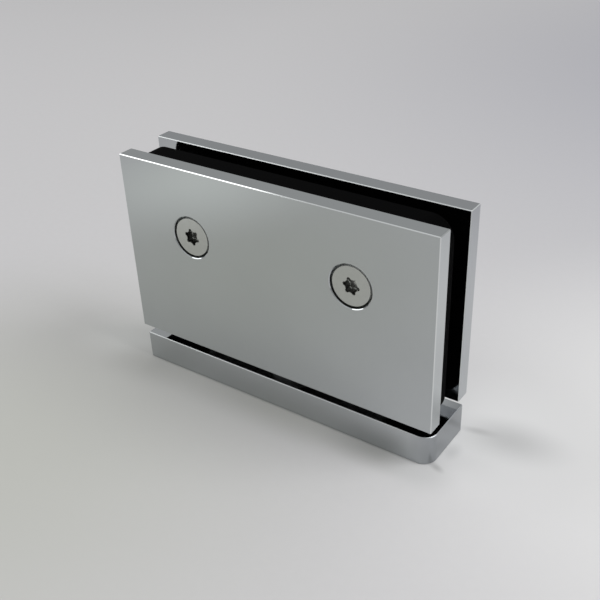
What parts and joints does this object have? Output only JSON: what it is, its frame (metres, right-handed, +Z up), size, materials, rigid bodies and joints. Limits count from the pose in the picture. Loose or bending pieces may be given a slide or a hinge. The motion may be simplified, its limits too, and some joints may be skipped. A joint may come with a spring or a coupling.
{
  "type": "glass door hinge",
  "caption": "Pivot hinge for a frameless glass door: two polished clamp plates on a sprung pivot body that turns both ways over a narrow base block.",
  "frame": {"origin": "on the pivot axis at the underside of the base block", "axes": "+Z up along the pivot axis, +X along the base and the closed door, +Y from the front plate to the back plate"},
  "size_m": [0.1, 0.0208, 0.069],
  "materials": {
    "polished_metal": "mirror-polished plate",
    "screw_steel": "bright machined",
    "gasket_rubber": "matte black sheet",
    "body_brass": "blackened brass",
    "bush_bronze": "plain sleeve",
    "pin_steel": "ground",
    "spring_steel": "blued strip",
    "washer_nylon": "black nylon"
  },
  "bodies": {
    "base": {"base_block": "polished_metal", "pivot_pin": "pin_steel", "pin_screw": "screw_steel", "retaining_ring": "spring_steel", "thrust_washer": "washer_nylon"},
    "clamp": {"front_plate": "polished_metal", "back_plate": "polished_metal", "clamp_screw_left": "screw_steel", "clamp_screw_right": "screw_steel", "body_screw_left": "screw_steel", "body_screw_right": "screw_steel", "thick_gasket_1": "gasket_rubber", "thick_gasket_2": "gasket_rubber", "thin_gasket_1": "gasket_rubber", "thin_gasket_2": "gasket_rubber", "pivot_body": "body_brass", "lower_bush": "bush_bronze", "upper_bush": "bush_bronze", "left_leaf_1": "spring_steel", "left_leaf_2": "spring_steel", "right_leaf_1": "spring_steel", "right_leaf_2": "spring_steel"},
    "left_block": {"left_block": "pin_steel"},
    "right_block": {"right_block": "pin_steel"}
  },
  "joints": [
    {"name": "clamp_pivot", "type": "hinge", "parent": "base", "child": "clamp", "pos_m": [0, 0, 0], "axis": [0, 0, 1], "range_deg": [-90, 90]},
    {"name": "left_block_slide", "type": "slide", "parent": "clamp", "child": "left_block", "axis": [-1, 0, 0], "range_m": [-0.0005, 0]},
    {"name": "right_block_slide", "type": "slide", "parent": "clamp", "child": "right_block", "axis": [1, 0, 0], "range_m": [-0.0005, 0]}
  ]
}
